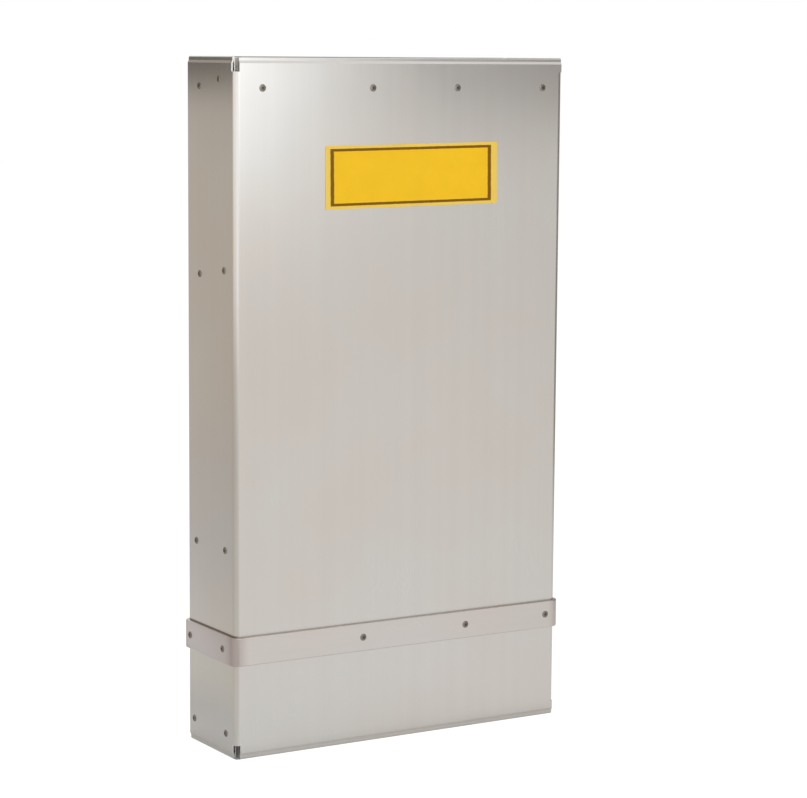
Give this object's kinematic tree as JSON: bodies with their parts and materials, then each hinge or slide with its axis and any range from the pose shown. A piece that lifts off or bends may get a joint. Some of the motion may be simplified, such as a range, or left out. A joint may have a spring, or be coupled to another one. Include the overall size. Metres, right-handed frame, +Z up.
{
  "type": "feed chute for u-shaped fluorescent lamps",
  "caption": "Flat open-ended chute of riveted stainless sheet with hemmed rims, a stop collar round its lower end, a blank notice plate and two rubber flaps in its mouth.",
  "frame": {"origin": "centre of the lower rim's opening, on the plane that the rim stands on", "axes": "+Z up along the chute to its mouth, +Y from the front face to the back face, +X to the right seen from the front"},
  "size_m": [0.3444, 0.1004, 0.61],
  "materials": {
    "stainless": "vertical grain brushed stainless sheet",
    "strap": "mill finish stainless flat bar",
    "angle_steel": "mill finish stainless angle and strip",
    "rivets": "dull domed blind rivets",
    "rubber": "matt black rubber sheet",
    "border_ink": "dark printed line",
    "label": "yellow vinyl with a dark border, left blank"
  },
  "bodies": {
    "chute": {"front_shell": "stainless", "rear_shell": "stainless", "stop_collar": "strap", "notice_plate": "label", "notice_border": "border_ink", "seal_angle_front": "angle_steel", "seal_angle_rear": "angle_steel", "flap_root_front": "rubber", "flap_root_rear": "rubber", "clamp_strip_front": "angle_steel", "clamp_strip_rear": "angle_steel", "mouth_rivets_front": "rivets", "mouth_rivets_rear": "rivets", "clamp_rivets_front": "rivets", "clamp_rivets_rear": "rivets", "left_rivets_front": "rivets", "left_rivets_rear": "rivets", "right_rivets_front": "rivets", "right_rivets_rear": "rivets", "collar_rivets_front": "rivets", "collar_rivets_rear": "rivets", "collar_rivets_left": "rivets", "collar_rivets_right": "rivets"},
    "flap_front": {"mouth_flap_front": "rubber"},
    "flap_rear": {"mouth_flap_rear": "rubber"}
  },
  "joints": [
    {"name": "front_flap_swing", "type": "hinge", "parent": "chute", "child": "flap_front", "pos_m": [0, -0.02885, 0.595], "axis": [-1, 0, 0], "range_deg": [0, 80], "stiffness_Nm_per_rad": 0.13, "springref_deg": -5.73},
    {"name": "rear_flap_swing", "type": "hinge", "parent": "chute", "child": "flap_rear", "pos_m": [0, 0.02885, 0.595], "axis": [1, 0, 0], "range_deg": [0, 80], "stiffness_Nm_per_rad": 0.13, "springref_deg": -5.73}
  ]
}
